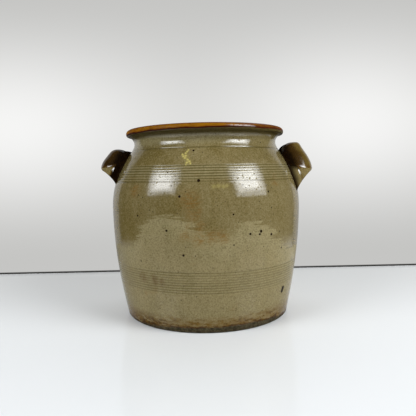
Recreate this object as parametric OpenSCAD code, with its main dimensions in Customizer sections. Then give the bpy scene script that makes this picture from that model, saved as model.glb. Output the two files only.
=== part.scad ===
// Stoneware confit pot: a thrown crock with a rolled lip and two pulled ear handles

/* [Pot] */
// Height from the table to the rim
pot_h = 250; // [240:1:300]
// Radius of the pot just above the edge of its base
base_r = 112; // [100:0.5:118]
// Rounding of the edge round the base
base_edge = 3; // [1:0.5:5]
// Angle at which the wall leans out from the base
base_lean = 12; // [5:1:18]
// Height over which that lean fades into the belly
base_rise = 28; // [15:1:45]
// Radius of the belly at its widest
belly_r = 129; // [124:0.5:145]
// Height of the widest line of the belly
belly_z = 146; // [130:1:160]
// Share of the belly's height over which its lower side stays upright
belly_fullness = 0.42; // [0.3:0.01:0.6]
// Share of the shoulder's height over which it stays upright above the belly
shoulder_fullness = 0.63; // [0.4:0.01:0.75]
// Share of the shoulder's height taken by its sweep into the neck
neck_sweep = 0.15; // [0.1:0.01:0.25]
// Thickness of the thrown wall at the belly
wall_t = 8.5; // [6:0.5:12]
// Thickness of the floor
floor_t = 12; // [8:0.5:18]
// Radius of the corner between the floor and the wall, inside
floor_corner = 16; // [8:1:24]

/* [Neck and lip] */
// Outer radius of the neck at its narrowest
neck_r = 97.5; // [94:0.5:104]
// Depth of the narrowest line of the neck below the rim
neck_drop = 19; // [16:0.5:24]
// Thickness of the wall at the neck, round the straight throat
neck_t = 8; // [6:0.5:11]
// Length of the straight throat
throat_len = 12; // [6:0.5:16]
// How far the lip stands out beyond the neck
lip_out = 10.7; // [8:0.1:16]
// Radius of the bead rolled along the lip
lip_bead = 5; // [4:0.25:6]
// Angle round the bead, below its widest line, where the flare of the neck runs into it
lip_tuck = 40; // [20:1:60]

/* [Comb lines] */
// Half width of one incised line
line_w = 0.8; // [0.4:0.1:1.2]
// Spacing of the lines in a combed band
line_pitch = 3.05; // [2.6:0.05:4]
// Depth of the lowest line of the upper band below the rim
upper_band_drop = 68.4; // [62:0.1:74]
// Number of lines in the upper band
upper_band_lines = 7; // [1:1:8]
// Height of the lowest line of the lower band
lower_band_z = 51; // [40:0.5:70]
// Number of lines in the lower band
lower_band_lines = 9; // [1:1:10]
// Depth of the single line under the neck below the rim
neck_line_drop = 28.6; // [27:0.1:34]

/* [Ear handles] */
// Length of each ear along the wall between the outer faces of its legs, half way down them
ear_len = 82; // [70:1:100]
// Lean of the legs, which spread apart as they run down the wall
ear_splay = 6; // [0:1:12]
// Lean of the ear's ends toward each other above the ridge, on top of that splay
ear_lean = 19; // [8:1:24]
// How far the outer face of an ear stands out from the wall
ear_reach = 34; // [28:0.5:42]
// Thickness of the strap
ear_t = 10; // [7:0.5:12]
// Squareness of the bow seen from above: 1 is an ellipse, less is squarer
ear_bow = 0.65; // [0.55:0.05:1]
// Width of the flare that is smeared from each leg along the wall
ear_flare = 9; // [4:1:16]
// Rounding of the strap's upper edge
ear_edge = 4.2; // [2:0.1:4.5]
// How far the face of the strap draws in from its crown to the beak
ear_tuck = 5; // [1:0.5:6]
// Width of the strap's lower edge under the beak
ear_lower_edge = 3; // [2:0.5:5]
// Width of the strap's lower edge at the ends of its tails
ear_tail_w = 4.5; // [3:0.5:12]
// Height of the pressed facet under the beak
ear_facet = 2; // [1:0.5:6]
// Rise of the ridge above the pressed facet, from the beak back to the roots
ear_ridge_rise = 5; // [0:0.5:12]
// Thickness of the slip that beds the roots on the wall
slip_t = 0.3; // [0.1:0.05:0.5]

/* [Right ear] */
// Depth of the upper end of its roots below the rim
right_root_drop = 36.5; // [30:0.5:40]
// Depth of its upper edge below the rim, at the middle
right_top_drop = 19.5; // [16:0.5:26]
// Depth of its beak below the rim
right_beak_drop = 55.5; // [48:0.5:64]
// Depth of the end of its tails below the rim
right_tail_drop = 90; // [76:1:110]
// How far its upper edge draws in toward the pot
right_top_draw = 0; // [0:0.5:6]

/* [Left ear] */
// Depth of the upper end of its roots below the rim
left_root_drop = 32.5; // [30:0.5:40]
// Depth of its upper edge below the rim, at the middle
left_top_drop = 25; // [16:0.5:26]
// Depth of its beak below the rim
left_beak_drop = 50; // [48:0.5:64]
// Depth of the end of its tails below the rim
left_tail_drop = 75; // [70:1:110]
// How far its upper edge draws in toward the pot
left_top_draw = 3.5; // [0:0.5:6]

/* [Hidden] */
$fn = 96;

// Steps along each curve of the pot's outline
curve_steps = 14;
// Steps along each small arc
arc_steps = 6;
// Stations along the bow of an ear
bow_steps = 36;
// Levels up the pressed facet of an ear, and up its face
facet_levels = 4;
face_levels = 8;
// How soon an ear's upper edge climbs away from the roots: more is sooner
upper_climb = 2.6;
// How soon its lower edge climbs away from the tails: less is sooner
lower_climb = 0.55;
// Height of the crown of its face, as a share of the way from the ridge to the upper edge
crown_share = 0.6;
// How closely the flare of a leg keeps to the wall: more is closer
flare_fall = 30;
// Shares of the reach between which the press of the lower face sets in
press_start = 0.3;
press_end = 0.44;
// How blunt the lower edge of a leg is, before the press: more is blunter
leg_blunt = 4;

neck_z = pot_h - neck_drop;
shoulder_h = neck_z - belly_z;
throat_r = neck_r - neck_t;
throat_top = neck_z + throat_len / 2;
throat_foot = neck_z - throat_len / 2;
bead_z = pot_h - lip_bead;
bead_r = neck_r + lip_out - lip_bead;
base_out = base_rise * tan(base_lean);
inner_belly_r = belly_r - wall_t;
inner_foot_r = base_r + base_out - wall_t;

// Cubic curve from a to d, pulled toward b and c
function curve(a, b, c, d) =
    [for (i = [0:curve_steps])
        let (t = i / curve_steps, s = 1 - t)
        s * s * s * a + 3 * s * s * t * b + 3 * s * t * t * c + t * t * t * d];

// Arc of an ellipse round c, with half axes a, from one angle to another
function arc(c, a, from, to) =
    [for (i = [0:arc_steps])
        let (w = from + (to - from) * i / arc_steps)
        c + [a[0] * cos(w), a[1] * sin(w)]];

// All points of a list but its first, so that runs of an outline share their end points
function rest(list) = [for (i = [1:len(list) - 1]) list[i]];

lower_wall = curve(
    [base_r, base_edge],
    [base_r + base_out, base_edge + base_rise],
    [belly_r, belly_z * (1 - belly_fullness)],
    [belly_r, belly_z]);
shoulder = curve(
    [belly_r, belly_z],
    [belly_r, belly_z + shoulder_h * shoulder_fullness],
    [neck_r, neck_z - shoulder_h * neck_sweep],
    [neck_r, neck_z]);
bead = arc([bead_r, bead_z], [lip_bead, lip_bead], -lip_tuck, 90);
neck_flare = arc([bead[0][0], neck_z], [bead[0][0] - neck_r, bead[0][1] - neck_z], 180, 90);
outer_wall = concat(lower_wall, rest(shoulder), rest(neck_flare), rest(bead));

inner_lip = arc([bead_r, throat_top], [bead_r - throat_r, pot_h - throat_top], 90, 180);
inner_shoulder = curve(
    [throat_r, throat_foot],
    [throat_r, throat_foot - shoulder_h * neck_sweep],
    [inner_belly_r, belly_z + shoulder_h * shoulder_fullness - wall_t / 2],
    [inner_belly_r, belly_z]);
inner_lower = curve(
    [inner_belly_r, belly_z],
    [inner_belly_r, belly_z * (1 - belly_fullness)],
    [inner_foot_r, floor_t + floor_corner + base_rise],
    [inner_foot_r, floor_t + floor_corner]);
inner_corner = arc(
    [inner_foot_r - floor_corner, floor_t + floor_corner],
    [floor_corner, floor_corner],
    0, -90);
inner_wall = concat(rest(inner_lip), inner_shoulder, rest(inner_lower), rest(inner_corner));

// Outer radius of the plain wall at a height, on the pot's own outline
wall_table = [for (p = concat(lower_wall, rest(shoulder), rest(neck_flare))) [p[1], p[0]]];
function wall_r(z) = lookup(z, wall_table);

// A band of incised lines, cut across the outline
module comb(z, lines) {
    for (i = [0:lines - 1])
        let (line_z = z + i * line_pitch)
        translate([wall_r(line_z), line_z]) circle(r = line_w, $fn = 4);
}

module pot_body() {
    color("#857a4f")
    rotate_extrude()
    difference() {
        polygon(concat(
            [[0, 0]],
            arc([base_r - base_edge, base_edge], [base_edge, base_edge], -90, 0),
            rest(outer_wall),
            inner_wall,
            [[0, floor_t]]));
        comb(pot_h - upper_band_drop, upper_band_lines);
        comb(lower_band_z, lower_band_lines);
        comb(pot_h - neck_line_drop, 1);
    }
}

// One ear: a strap bowed out from the wall on +X, upright across its bow. Its sections run from root to
// root, each one a column of levels up its outer face and down its inner face. The lower part of the face
// is pressed in toward the wall along the bow, which leaves a ridge above a flat facet, and each leg keeps
// its full thickness and flares along the wall where it is luted on.
module ear(root_drop, top_drop, beak_drop, tail_drop, top_draw) {
    root_z = pot_h - root_drop;
    top_z = pot_h - top_drop;
    beak_z = pot_h - beak_drop;
    tail_z = pot_h - tail_drop;
    levels = facet_levels + face_levels;
    half_t = ear_t / 2;
    edge = min(ear_edge, 0.9 * half_t);
    reach = ear_reach - half_t - slip_t;
    mid_z = (root_z + tail_z) / 2;
    root_r = wall_r(mid_z);

    // How far along the bow a station lies: 0 at the roots and 1 at the middle
    function rise(a) = pow(sin(a), ear_bow);
    function upper_z(a) = root_z + (top_z - root_z) * (1 - pow(1 - rise(a), upper_climb));
    function lower_z(a) = tail_z + (beak_z - ear_facet - tail_z) * pow(rise(a), lower_climb);
    function ridge_z(a) = beak_z + ear_ridge_rise * (1 - rise(a));

    // How far the lower face is pressed in: 0 on the legs and 1 along the bow
    function press(a) =
        let (w = min(1, max(0, (rise(a) - press_start) / (press_end - press_start))))
        w * w * (3 - 2 * w);

    function level_z(a, j) = j < facet_levels
        ? lower_z(a) + (ridge_z(a) - lower_z(a)) * j / facet_levels
        : ridge_z(a) + (upper_z(a) - ridge_z(a)) * sin(90 * (j - facet_levels) / face_levels);

    // Thickness lost on each side to the rounding of the upper edge
    function edge_cut(a, z) =
        let (w = max(0, 1 - (upper_z(a) - z) / edge))
        edge * (1 - sqrt(max(0, 1 - w * w)));

    // Draw of the face below its crown, which lies a little above its middle
    function tuck(a, z) =
        let (w = max(0, 1 - (z - ridge_z(a)) / (upper_z(a) - ridge_z(a)) / crown_share))
        ear_tuck * pow(rise(a), 3) * w * w;

    // Flare of a leg along the wall, widest half way down the root
    function root_flare(a, z) =
        let (w = (z - lower_z(a)) / (upper_z(a) - lower_z(a)))
        ear_flare * sin(180 * w) * pow(1 - rise(a), flare_fall);

    function lower_edge(a) = ear_lower_edge + (ear_tail_w - ear_lower_edge) * pow(1 - rise(a), 2);
    function inner_n(a, z) = -half_t + edge_cut(a, z);
    function face_n(a, z) = half_t - tuck(a, z) - edge_cut(a, z);
    function facet_n(a, j) =
        let (
            low = -half_t + lower_edge(a),
            high = face_n(a, ridge_z(a)),
            flat = j / facet_levels,
            full = 1 - pow(1 - flat, leg_blunt))
        low + (high - low) * (full + (flat - full) * press(a));
    function outer_n(a, j, z) = (j < facet_levels ? facet_n(a, j) : face_n(a, z)) + root_flare(a, z);

    // A point of the strap at station a, n out from its middle surface, wrapped round the wall at height z
    function wrap(a, n, z) =
        let (
            above = max(0, z - ridge_z(a)),
            run = ear_len / 2 - half_t + (mid_z - z) * tan(ear_splay) - above * tan(ear_lean),
            along = -run * sign(cos(a)) * pow(abs(cos(a)), ear_bow),
            across = [
                -sign(cos(a)) * pow(abs(cos(a)), 2 - ear_bow) / run,
                pow(sin(a), 2 - ear_bow) / reach],
            normal = across / norm(across),
            drawn = top_draw * rise(a) * above / (top_z - beak_z),
            r = wall_r(z) + slip_t + reach * rise(a) - drawn + n * normal[1],
            turn = (along + n * normal[0]) / root_r * 180 / PI)
        [r * cos(turn), r * sin(turn), z];

    function section(a) = concat(
        [for (j = [0:levels]) let (z = level_z(a, j)) wrap(a, outer_n(a, j, z), z)],
        [for (j = [levels:-1:0]) let (z = level_z(a, j)) wrap(a, inner_n(a, z), z)]);

    // Stations crowd toward the roots, where the legs flare
    ring = 2 * (levels + 1);
    last = bow_steps * ring;
    points = [for (i = [0:bow_steps]) each section(90 - 90 * cos(180 * i / bow_steps))];
    sides = [for (i = [0:bow_steps - 1], k = [0:ring - 1])
        let (a = i * ring + k, b = i * ring + (k + 1) % ring)
        each [[a, b, a + ring], [b, b + ring, a + ring]]];
    seats = [for (j = [0:levels - 1])
        let (a = j, b = ring - 1 - j)
        each [
            [a, b, a + 1], [a + 1, b, b - 1],
            [last + a, last + a + 1, last + b], [last + a + 1, last + b - 1, last + b]]];
    polyhedron(points, concat(sides, seats));
}

module left_handle() {
    color("#3f3317")
    rotate([0, 0, 180])
    ear(left_root_drop, left_top_drop, left_beak_drop, left_tail_drop, left_top_draw);
}

module right_handle() {
    color("#4a3c1c")
    ear(right_root_drop, right_top_drop, right_beak_drop, right_tail_drop, right_top_draw);
}

pot_body();
left_handle();
right_handle();
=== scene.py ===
"""Dress the confit pot: a thrown stoneware crock with combed bands and two pulled ear handles."""
import logging
import math
from dataclasses import dataclass, field
from enum import Enum

import bmesh
import bpy
from mathutils import Matrix, Vector, noise


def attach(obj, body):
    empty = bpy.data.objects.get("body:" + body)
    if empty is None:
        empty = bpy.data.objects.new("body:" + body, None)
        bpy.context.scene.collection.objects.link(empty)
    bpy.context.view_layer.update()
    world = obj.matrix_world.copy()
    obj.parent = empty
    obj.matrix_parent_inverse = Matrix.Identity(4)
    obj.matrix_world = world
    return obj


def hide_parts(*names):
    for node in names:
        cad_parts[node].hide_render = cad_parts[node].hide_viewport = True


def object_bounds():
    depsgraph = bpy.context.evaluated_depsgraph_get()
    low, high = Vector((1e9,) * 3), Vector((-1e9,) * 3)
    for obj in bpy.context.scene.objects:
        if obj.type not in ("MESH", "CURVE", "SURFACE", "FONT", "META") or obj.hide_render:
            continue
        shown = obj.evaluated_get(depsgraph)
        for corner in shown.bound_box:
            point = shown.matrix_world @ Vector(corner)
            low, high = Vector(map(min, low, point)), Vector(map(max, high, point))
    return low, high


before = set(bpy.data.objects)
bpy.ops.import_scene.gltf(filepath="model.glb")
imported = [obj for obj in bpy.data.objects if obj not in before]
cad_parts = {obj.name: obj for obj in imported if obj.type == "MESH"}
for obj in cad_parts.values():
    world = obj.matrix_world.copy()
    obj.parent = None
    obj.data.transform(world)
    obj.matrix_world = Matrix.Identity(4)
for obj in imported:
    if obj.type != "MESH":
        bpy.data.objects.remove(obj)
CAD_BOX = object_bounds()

LOG = logging.getLogger("confit_pot")
MM = 0.001
MIDDLE = (0.0, 0.0, 0.0)
UPRIGHT = (0.0, 0.0, 1.0)
WELD = 0.00001
HALVINGS = 40
Colour = tuple[float, float, float, float]
Point2 = tuple[float, float]
Curve = tuple[Point2, Point2, Point2, Point2]
Socket = bpy.types.NodeSocket
Number = float | Socket


def tone(code: str) -> Colour:
    """Turn a display colour such as "8a7d52" into the linear colour that shaders take.

    Args:
        code: Six hexadecimal digits, red first.

    Returns:
        The linear red, green, blue and alpha.
    """
    parts = [int(code[i:i + 2], 16) / 255.0 for i in (0, 2, 4)]
    linear = [p / 12.92 if p <= 0.04045 else ((p + 0.055) / 1.055) ** 2.4 for p in parts]
    return linear[0], linear[1], linear[2], 1.0


def bezier(ends: Curve, share: float) -> Point2:
    """Find a point of a cubic curve.

    Args:
        ends: The curve's start, its two pulls and its end.
        share: How far along the curve, from 0 to 1.

    Returns:
        The point's radius and height.
    """
    t, s = share, 1.0 - share
    weights = (s * s * s, 3 * s * s * t, 3 * s * t * t, t * t * t)
    r, z = (sum(w * p[axis] for w, p in zip(weights, ends)) for axis in (0, 1))
    return r, z


def arc(centre: Point2, radii: Point2, start: float, turn: float, steps: range) -> list[Point2]:
    """List points along part of a circle or an ellipse.

    Args:
        centre: Its middle.
        radii: Its half width and half height.
        start: Angle of step 0 in degrees.
        turn: Degrees from one step to the next.
        steps: The steps that get a point.

    Returns:
        The points.
    """
    angles = [math.radians(start + turn * step) for step in steps]
    return [(centre[0] + radii[0] * math.cos(w), centre[1] + radii[1] * math.sin(w)) for w in angles]


def smooth_step(low: float, high: float, value: float) -> float:
    """Ease from 0 at low to 1 at high."""
    share = min(1.0, max(0.0, (value - low) / (high - low)))
    return share * share * (3.0 - 2.0 * share)


class Skin(Enum):
    """Which face of the thrown wall a point of the outline belongs to."""

    OUTSIDE = 0.0
    INSIDE = 1.0


@dataclass(frozen=True)
class CombBand:
    """A band of lines drawn round the turning pot with a comb, in millimetres."""

    foot: float
    lines: int
    pitch: float = 3.05
    half_width: float = 0.72
    depth: float = 0.32
    shade: float = 0.55

    @property
    def head(self) -> float:
        """Height of the band's highest line."""
        return self.foot + (self.lines - 1) * self.pitch

    def pool(self, z: float) -> float:
        """Say how deep in a line a height lies: 1 on a line's middle and 0 between lines.

        Args:
            z: Height on the wall.

        Returns:
            The share of the line's full depth.
        """
        nearest = min(self.lines - 1, max(0, round((z - self.foot) / self.pitch)))
        away = abs(z - self.foot - nearest * self.pitch) / self.half_width
        return math.exp(-away * away)


@dataclass(frozen=True)
class PotOutline:
    """Turned outline of the pot in millimetres, the same as the solid's."""

    height: float = float(round(CAD_BOX[1][2] / MM))
    base_r: float = 112.0
    base_edge: float = 3.0
    base_lean: float = 12.0
    base_rise: float = 28.0
    base_rings: tuple[float, ...] = (0.0, 30.0, 70.0, 98.0)
    belly_r: float = float(round(CAD_BOX[1][1] / MM))
    belly_z: float = 146.0
    belly_fullness: float = 0.42
    shoulder_fullness: float = 0.63
    neck_sweep: float = 0.15
    wall_t: float = 8.5
    floor_t: float = 12.0
    floor_corner: float = 16.0
    floor_rings: tuple[float, ...] = (84.0, 72.0, 60.0, 47.0, 34.0, 21.0, 10.0, 0.0)
    neck_r: float = 97.5
    neck_drop: float = 19.0
    neck_t: float = 8.0
    throat_len: float = 12.0
    lip_out: float = 10.7
    lip_bead: float = 5.0
    lip_tuck: float = 40.0
    edge_steps: int = 6
    flare_steps: int = 9
    lip_steps: int = 14
    mouth_steps: int = 12
    shoulder_steps: int = 26
    lower_steps: int = 36
    corner_steps: int = 7
    plain_step: float = 2.2
    combed_step: float = 0.38
    band_margin: float = 1.6
    band_lead: float = 0.6
    upper_band: CombBand = CombBand(foot=184.65, lines=6, half_width=0.52, depth=0.12, shade=1.0)
    heel_line: CombBand = CombBand(foot=181.6, lines=1, half_width=0.6, depth=0.26, shade=1.0)
    lower_band: CombBand = CombBand(foot=51.0, lines=9, shade=0.5)
    neck_line: CombBand = CombBand(foot=221.4, lines=1, depth=0.3, shade=0.7)

    @property
    def neck_z(self) -> float:
        """Height of the narrowest line of the neck."""
        return self.height - self.neck_drop

    @property
    def shoulder_rise(self) -> float:
        """Height from the belly to the neck."""
        return self.neck_z - self.belly_z

    @property
    def foot_r(self) -> float:
        """Radius that the wall heads for as it leaves the base."""
        return self.base_r + self.base_rise * math.tan(math.radians(self.base_lean))

    @property
    def bead(self) -> Point2:
        """Centre of the bead that is rolled along the lip."""
        return self.neck_r + self.lip_out - self.lip_bead, self.height - self.lip_bead

    @property
    def flare_end(self) -> Point2:
        """Point where the flare of the neck runs into the bead."""
        tuck = math.radians(self.lip_tuck)
        return self.bead[0] + self.lip_bead * math.cos(tuck), self.bead[1] - self.lip_bead * math.sin(tuck)

    @property
    def bands(self) -> tuple[CombBand, ...]:
        """All combed bands and single lines, from the foot up."""
        return self.lower_band, self.heel_line, self.upper_band, self.neck_line

    def lower_curve(self) -> Curve:
        """Give the curve of the outer wall from the base to the belly."""
        return ((self.base_r, self.base_edge), (self.foot_r, self.base_edge + self.base_rise),
                (self.belly_r, self.belly_z * (1 - self.belly_fullness)), (self.belly_r, self.belly_z))

    def shoulder_curve(self) -> Curve:
        """Give the curve of the outer wall from the belly to the neck.

        Returns:
            The curve's start, its two pulls and its end.
        """
        full_z = self.belly_z + self.shoulder_rise * self.shoulder_fullness
        sweep_z = self.neck_z - self.shoulder_rise * self.neck_sweep
        return ((self.belly_r, self.belly_z), (self.belly_r, full_z), (self.neck_r, sweep_z),
                (self.neck_r, self.neck_z))

    def wall_r(self, z: float) -> float:
        """Find the outer radius of the plain wall.

        Args:
            z: Height between the base edge and the bead.

        Returns:
            The radius at that height.
        """
        if z > self.neck_z:
            return self.flare_r(z)
        curve = self.lower_curve() if z < self.belly_z else self.shoulder_curve()
        low, high = 0.0, 1.0
        for _ in range(HALVINGS):
            middle = (low + high) / 2
            if bezier(curve, middle)[1] < z:
                low = middle
            else:
                high = middle
        return bezier(curve, low)[0]

    def flare_r(self, z: float) -> float:
        """Find the outer radius of the flare between the neck and the bead.

        Args:
            z: Height above the narrowest line of the neck.

        Returns:
            The radius at that height.
        """
        end_r, end_z = self.flare_end
        share = min(1.0, (z - self.neck_z) / (end_z - self.neck_z))
        return end_r - (end_r - self.neck_r) * math.sqrt(max(0.0, 1.0 - share * share))

    def pool(self, z: float) -> float:
        """Say how deep in any combed line a height lies, from 0 to 1."""
        return max(band.pool(z) for band in self.bands)

    def nearest_band(self, z: float) -> CombBand:
        """Give the combed band whose line is nearest to a height."""
        return max(self.bands, key=lambda band: band.pool(z))

    def wall_heights(self) -> list[float]:
        """List the heights at which the outer wall has a ring, close together in the combed bands.

        Returns:
            The heights, from the base edge to the neck.
        """
        heights, z, margin = [], self.base_edge, self.band_margin
        while z < self.neck_z:
            heights.append(z)
            combed = any(b.foot - margin < z + self.band_lead and z < b.head + margin for b in self.bands)
            z += self.combed_step if combed else self.plain_step
        return heights

    def outside(self) -> list[Point2]:
        """List the points of the outline from the middle of the base up to the top of the lip.

        Returns:
            The points' radii and heights.
        """
        edge, bead, (end_r, end_z) = self.base_edge, self.lip_bead, self.flare_end
        flare = (end_r - self.neck_r, end_z - self.neck_z)
        edge_turn, bead_turn = 90 / self.edge_steps, (90 + self.lip_tuck) / self.lip_steps
        return [
            *((r, 0.0) for r in self.base_rings),
            *arc((self.base_r - edge, edge), (edge, edge), -90, edge_turn, range(self.edge_steps)),
            *((self.wall_r(z), z) for z in self.wall_heights()),
            *arc((end_r, self.neck_z), flare, 180, -90 / self.flare_steps, range(self.flare_steps)),
            *arc(self.bead, (bead, bead), -self.lip_tuck, bead_turn, range(self.lip_steps + 1))]

    def inside(self) -> list[Point2]:
        """List the points of the outline from behind the top of the lip down to the middle of the floor.

        Returns:
            The points' radii and heights.
        """
        throat_r, mouth_r = self.neck_r - self.neck_t, self.bead[0]
        throat_top = self.neck_z + self.throat_len / 2
        throat_foot = self.neck_z - self.throat_len / 2
        inner_r, foot_r = self.belly_r - self.wall_t, self.foot_r - self.wall_t
        corner, corner_z = self.floor_corner, self.floor_t + self.floor_corner
        full_z = self.belly_z + self.shoulder_rise * self.shoulder_fullness - self.wall_t / 2
        shoulder = ((throat_r, throat_foot), (throat_r, throat_foot - self.shoulder_rise * self.neck_sweep),
                    (inner_r, full_z), (inner_r, self.belly_z))
        lower = ((inner_r, self.belly_z), (inner_r, self.belly_z * (1 - self.belly_fullness)),
                 (foot_r, corner_z + self.base_rise), (foot_r, corner_z))
        mouth = (mouth_r - throat_r, self.height - throat_top)
        back, down = range(1, self.mouth_steps + 1), range(1, self.corner_steps + 1)
        return [
            *arc((mouth_r, throat_top), mouth, 90, 90 / self.mouth_steps, back),
            *(bezier(shoulder, step / self.shoulder_steps) for step in range(self.shoulder_steps + 1)),
            *(bezier(lower, step / self.lower_steps) for step in range(1, self.lower_steps + 1)),
            *arc((foot_r - corner, corner_z), (corner, corner), 0, -90 / self.corner_steps, down),
            *((r, self.floor_t) for r in self.floor_rings)]


@dataclass(frozen=True)
class Ramp:
    """How a number is eased: low at its start, high at its end and flat beyond both."""

    start: float
    end: float
    low: float = 0.0
    high: float = 1.0


@dataclass(frozen=True)
class Pattern:
    """Soft noise: the size of its largest lumps in metres, its finer layers and its squeeze."""

    size: float
    layers: float = 2.0
    roughness: float = 0.5
    across: float = 1.0
    upright: float = 1.0


@dataclass(frozen=True)
class Flecks:
    """Scattered spots: the spacing of their grains and their radius in metres, and the share that shows."""

    cell: float
    radius: float
    share: float
    least: float = 0.4
    core: float = 0.55


class Web:
    """Shader nodes of one material, made and joined by short calls."""

    def __init__(self, name: str) -> None:
        """Start an empty material that reads Object coordinates.

        Args:
            name: The material's name.
        """
        self.material = bpy.data.materials.new(name)
        self.material.use_nodes = True
        self.tree = self.material.node_tree
        self.tree.nodes.clear()
        self.place: Socket = self.node("TexCoord").outputs["Object"]

    def feed(self, socket: Socket, value: object) -> None:
        """Link a socket to another, or set its value.

        Args:
            socket: The socket that is fed.
            value: Another socket, or a value.
        """
        if isinstance(value, Socket):
            self.tree.links.new(value, socket)
        else:
            socket.default_value = value

    def node(self, kind: str, **settings: object) -> bpy.types.Node:
        """Make a node.

        Args:
            kind: The node's type without its ShaderNode prefix.
            settings: Its options by name.

        Returns:
            The new node.
        """
        made = self.tree.nodes.new("ShaderNode" + kind)
        for name, value in settings.items():
            setattr(made, name, value)
        return made

    def axes(self) -> tuple[Socket, Socket, Socket]:
        """Split Object coordinates.

        Returns:
            The sockets of x, y and z.
        """
        split = self.node("SeparateXYZ")
        self.feed(split.inputs[0], self.place)
        return split.outputs["X"], split.outputs["Y"], split.outputs["Z"]

    def math(self, operation: str, *numbers: Number) -> Socket:
        """Join numbers by an operation of the Math node.

        Args:
            operation: The operation's name.
            numbers: One to three numbers or sockets.

        Returns:
            The result's socket.
        """
        made = self.node("Math", operation=operation)
        for socket, value in zip(made.inputs, numbers):
            self.feed(socket, value)
        return made.outputs[0]

    def plus(self, first: Number, second: Number) -> Socket:
        """Add two numbers."""
        return self.math("ADD", first, second)

    def minus(self, first: Number, second: Number) -> Socket:
        """Take the second number from the first."""
        return self.math("SUBTRACT", first, second)

    def times(self, first: Number, second: Number) -> Socket:
        """Multiply two numbers."""
        return self.math("MULTIPLY", first, second)

    def scaled(self, value: Number, factor: Number, shift: Number) -> Socket:
        """Multiply a number by a factor and then shift it."""
        return self.math("MULTIPLY_ADD", value, factor, shift)

    def most(self, *numbers: Number) -> Socket:
        """Give the largest of some numbers.

        Args:
            numbers: Two or more numbers or sockets.

        Returns:
            The largest one's socket.
        """
        largest = numbers[0]
        for number in numbers[1:]:
            largest = self.math("MAXIMUM", largest, number)
        return largest

    def gap(self, value: Number, other: float = 0.0) -> Socket:
        """Give the distance between two numbers."""
        return self.math("ABSOLUTE", self.minus(value, other))

    def between(self, value: Number, *ends: Number) -> Socket:
        """Ease a number between ends that may themselves be sockets.

        Args:
            value: The number that runs.
            ends: Its start and its end, and the results there if they aren't 0 and 1.

        Returns:
            The eased number's socket.
        """
        made = self.node("MapRange", interpolation_type="SMOOTHSTEP")
        for socket, given in zip(made.inputs, (value, *ends)):
            self.feed(socket, given)
        return made.outputs[0]

    def ease(self, value: Number, ramp: Ramp) -> Socket:
        """Ease a number along a ramp."""
        return self.between(value, ramp.start, ramp.end, ramp.low, ramp.high)

    def noise(self, pattern: Pattern) -> Socket:
        """Make soft noise.

        Args:
            pattern: Its size, layers and squeeze.

        Returns:
            Its strength, about 0.5 on average.
        """
        place = self.place
        if (pattern.across, pattern.upright) != (1.0, 1.0):
            squeeze = self.node("Mapping")
            self.feed(squeeze.inputs["Vector"], place)
            squeeze.inputs["Scale"].default_value = (pattern.across, pattern.across, pattern.upright)
            place = squeeze.outputs[0]
        made = self.node("TexNoise")
        self.feed(made.inputs["Vector"], place)
        made.inputs["Scale"].default_value = 1.0 / pattern.size
        made.inputs["Detail"].default_value = pattern.layers
        made.inputs["Roughness"].default_value = pattern.roughness
        return made.outputs[0]

    def waver(self, pattern: Pattern, reach: float) -> Socket:
        """Give soft noise that runs from minus its reach to its reach."""
        return self.scaled(self.noise(pattern), 2 * reach, -reach)

    def blend(self, share: Number, first: object, second: object) -> Socket:
        """Mix two colours.

        Args:
            share: How much of the second one shows.
            first: A colour or a socket.
            second: A colour or a socket.

        Returns:
            The mixed colour's socket.
        """
        # A Mix node keeps its share in socket 0 and its two colours in sockets 6 and 7.
        made = self.node("Mix", data_type="RGBA")
        for place, value in ((0, share), (6, first), (7, second)):
            self.feed(made.inputs[place], value)
        return made.outputs[2]

    def attribute(self, name: str) -> Socket:
        """Read a number that the mesh holds at its points."""
        return self.node("Attribute", attribute_name=name).outputs["Fac"]

    def away(self, point: Vector, place: Socket) -> Socket:
        """Give the distance of some coordinates from a point.

        Args:
            point: The point in metres.
            place: The coordinates.

        Returns:
            The distance's socket.
        """
        made = self.node("VectorMath", operation="DISTANCE")
        self.feed(made.inputs[0], place)
        made.inputs[1].default_value = point
        return made.outputs["Value"]

    def warped(self, size: float, reach: float) -> Socket:
        """Give Object coordinates that noise pushes about.

        Args:
            size: Size of the pushes in metres.
            reach: How far they push.

        Returns:
            The coordinates' socket.
        """
        made = self.node("TexNoise")
        self.feed(made.inputs["Vector"], self.place)
        made.inputs["Scale"].default_value = 1.0 / size
        made.inputs["Detail"].default_value = 3.0
        centred = self.node("VectorMath", operation="SUBTRACT")
        self.feed(centred.inputs[0], made.outputs[1])
        centred.inputs[1].default_value = (0.5, 0.5, 0.5)
        pushed = self.node("VectorMath", operation="MULTIPLY_ADD")
        self.feed(pushed.inputs[0], centred.outputs[0])
        pushed.inputs[1].default_value = (2 * reach, 2 * reach, 2 * reach)
        self.feed(pushed.inputs[2], self.place)
        return pushed.outputs[0]

    def bump(self, height: Socket, depth: float, under: Socket | None = None) -> Socket:
        """Tilt the surface by a height.

        Args:
            height: The height, from 0 to 1.
            depth: What a height of 1 stands for, in metres.
            under: Another bump below this one.

        Returns:
            The tilted normal's socket.
        """
        made = self.node("Bump")
        made.inputs["Strength"].default_value = 1.0
        made.inputs["Distance"].default_value = depth
        self.feed(made.inputs["Height"], height)
        if under is not None:
            self.feed(made.inputs["Normal"], under)
        return made.outputs[0]

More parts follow.
